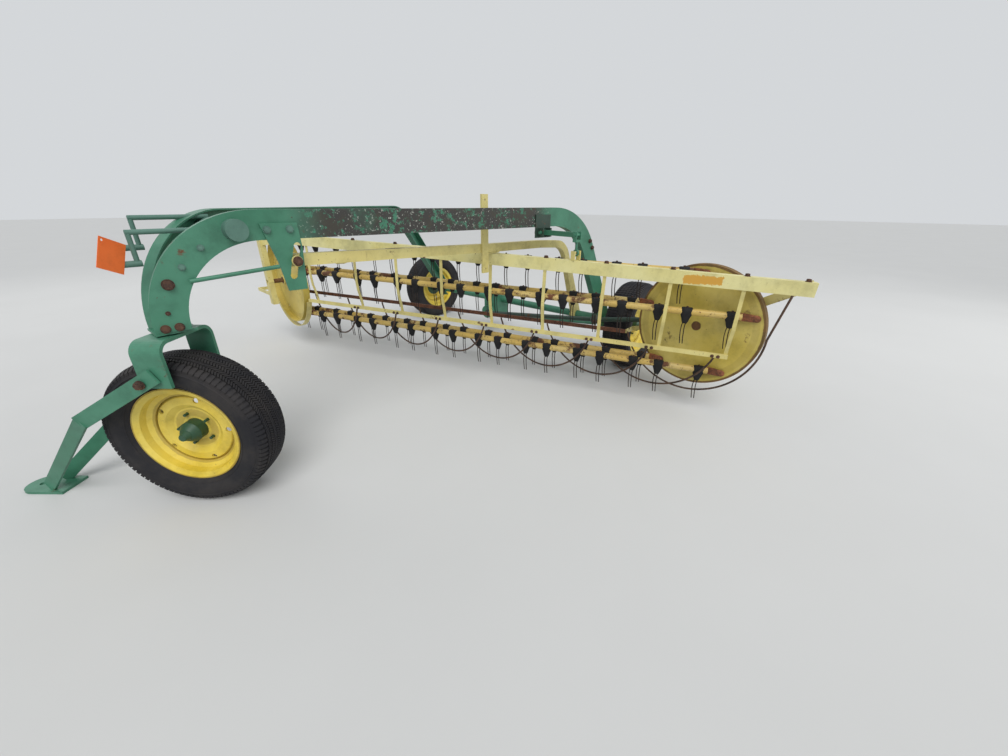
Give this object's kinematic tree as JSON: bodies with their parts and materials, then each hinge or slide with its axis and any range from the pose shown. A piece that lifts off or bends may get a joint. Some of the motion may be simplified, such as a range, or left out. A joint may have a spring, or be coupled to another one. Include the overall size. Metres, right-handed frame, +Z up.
{
  "type": "rotary hay rake",
  "caption": "Towed rotary hay rake: arched green frame on three wheels, slanted tined reel with stripper hoops, steered dolly and short tongue.",
  "frame": {"origin": "on the ground, under the middle of the machine's outline", "axes": "+X the way the machine is towed, +Y to its left, +Z up"},
  "size_m": [3.616, 4.0661, 1.257],
  "materials": {
    "green_paint": "weathered",
    "yellow_paint": "faded",
    "rusty_yellow": "faded and rusty",
    "rust_steel": "rusty",
    "dark_steel": "brown rust",
    "orange_tag": "flat",
    "tyre": "worn"
  },
  "bodies": {
    "frame": {"beam_left": "green_paint", "beam_right": "green_paint", "front_head": "green_paint", "cross_tube": "green_paint", "hanger_plate": "green_paint", "stay_rod": "green_paint", "crank_near": "green_paint", "crank_far": "green_paint", "tag": "orange_tag", "axle_tube": "green_paint", "rear_gearbox": "green_paint", "axle_stay": "green_paint", "drive_shaft": "dark_steel", "lift_bracket": "dark_steel"},
    "dolly": {"saddle": "green_paint"},
    "tongue": {"tongue": "green_paint", "hitch_plate": "green_paint"},
    "front_wheel": {"front_hub": "green_paint", "front_rim": "yellow_paint", "front_tyre": "tyre"},
    "left_wheel": {"left_hub": "green_paint", "left_rim": "yellow_paint", "left_tyre": "tyre"},
    "right_wheel": {"right_hub": "green_paint", "right_rim": "yellow_paint", "right_tyre": "tyre"},
    "basket": {"basket_arm": "yellow_paint", "centre_post": "yellow_paint", "front_brace": "yellow_paint", "top_rail": "yellow_paint", "lower_rail": "yellow_paint", "rear_rail": "rust_steel", "strips": "yellow_paint", "hoops": "dark_steel", "end_band": "yellow_paint", "front_post": "yellow_paint", "rear_bracket": "yellow_paint", "reel_gearbox": "green_paint", "lift_lug": "yellow_paint"},
    "disc_rear": {"disc_rear": "yellow_paint"},
    "disc_front": {"disc_front": "yellow_paint"},
    "tine_bar_1": {"tine_bar_1": "rusty_yellow"},
    "tine_bar_2": {"tine_bar_2": "rusty_yellow"},
    "tine_bar_3": {"tine_bar_3": "rusty_yellow"},
    "tine_bar_4": {"tine_bar_4": "rusty_yellow"},
    "tine_bar_5": {"tine_bar_5": "rusty_yellow"},
    "lift_arm": {"lift_arm": "green_paint"},
    "lift_link": {"lift_link": "green_paint"}
  },
  "joints": [
    {"name": "dolly_steer", "type": "hinge", "parent": "frame", "child": "dolly", "pos_m": [1.23, 0.16, 0.76], "axis": [0, 0, 1], "range_deg": [-34.1, 135.9]},
    {"name": "front_wheel_spin", "type": "hinge", "parent": "dolly", "child": "front_wheel", "pos_m": [1.24261, 0.14448, 0.33], "axis": [0.776, 0.6307, 0], "continuous": true},
    {"name": "tongue_lift", "type": "hinge", "parent": "dolly", "child": "tongue", "pos_m": [1.2527, 0.13206, 0.6], "axis": [-0.776, -0.6307, 0], "range_deg": [0, 60]},
    {"name": "left_wheel_spin", "type": "hinge", "parent": "frame", "child": "left_wheel", "pos_m": [-1.46, 0.93, 0.33], "axis": [0, 1, 0], "continuous": true},
    {"name": "right_wheel_spin", "type": "hinge", "parent": "frame", "child": "right_wheel", "pos_m": [-1.46, -1.44, 0.33], "axis": [0, 1, 0], "continuous": true},
    {"name": "basket_lift", "type": "hinge", "parent": "frame", "child": "basket", "pos_m": [-1.46, 0.41, 0.33], "axis": [0, -1, 0], "range_deg": [-0.6, 1]},
    {"name": "reel_spin", "type": "hinge", "parent": "basket", "child": "disc_rear", "pos_m": [-1.006, 1.505, 0.53], "axis": [0.9976, -0.0698, 0], "continuous": true},
    {"name": "front_disc_spin", "type": "hinge", "parent": "basket", "child": "disc_front", "pos_m": [0.02793, -1.58565, 0.59], "axis": [0.9976, -0.0698, 0], "continuous": true},
    {"name": "tine_bar_1_pivot", "type": "hinge", "parent": "disc_rear", "child": "tine_bar_1", "pos_m": [-0.98503, 1.80494, 0.63353], "axis": [0.9976, -0.0698, 0], "continuous": true},
    {"name": "tine_bar_2_pivot", "type": "hinge", "parent": "disc_rear", "child": "tine_bar_2", "pos_m": [-1.00639, 1.49946, 0.84795], "axis": [0.9976, -0.0698, 0], "continuous": true},
    {"name": "tine_bar_3_pivot", "type": "hinge", "parent": "disc_rear", "child": "tine_bar_3", "pos_m": [-1.02721, 1.20164, 0.62297], "axis": [0.9976, -0.0698, 0], "continuous": true},
    {"name": "tine_bar_4_pivot", "type": "hinge", "parent": "disc_rear", "child": "tine_bar_4", "pos_m": [-1.01872, 1.32305, 0.26951], "axis": [0.9976, -0.0698, 0], "continuous": true},
    {"name": "tine_bar_5_pivot", "type": "hinge", "parent": "disc_rear", "child": "tine_bar_5", "pos_m": [-0.99265, 1.69591, 0.27603], "axis": [0.9976, -0.0698, 0], "continuous": true},
    {"name": "lift_arm_pivot", "type": "hinge", "parent": "frame", "child": "lift_arm", "pos_m": [-0.666, 0.593, 1.041], "axis": [-0.9849, 0.1731, 0], "range_deg": [-3.47, 2.2]},
    {"name": "lift_link_pivot", "type": "hinge", "parent": "lift_arm", "child": "lift_link", "pos_m": [-0.62013, 0.854, 1.041], "axis": [-0.9849, 0.1731, 0], "range_deg": [-2.2, 3.47]}
  ],
  "couplings": [
    {"joint": "front_disc_spin", "follows": "reel_spin", "ratio": 1},
    {"joint": "tine_bar_1_pivot", "follows": "reel_spin", "ratio": -1},
    {"joint": "tine_bar_2_pivot", "follows": "reel_spin", "ratio": -1},
    {"joint": "tine_bar_3_pivot", "follows": "reel_spin", "ratio": -1},
    {"joint": "tine_bar_4_pivot", "follows": "reel_spin", "ratio": -1},
    {"joint": "tine_bar_5_pivot", "follows": "reel_spin", "ratio": -1},
    {"joint": "lift_arm_pivot", "follows": "basket_lift", "ratio": -3.1693},
    {"joint": "lift_link_pivot", "follows": "basket_lift", "ratio": 3.1693}
  ]
}
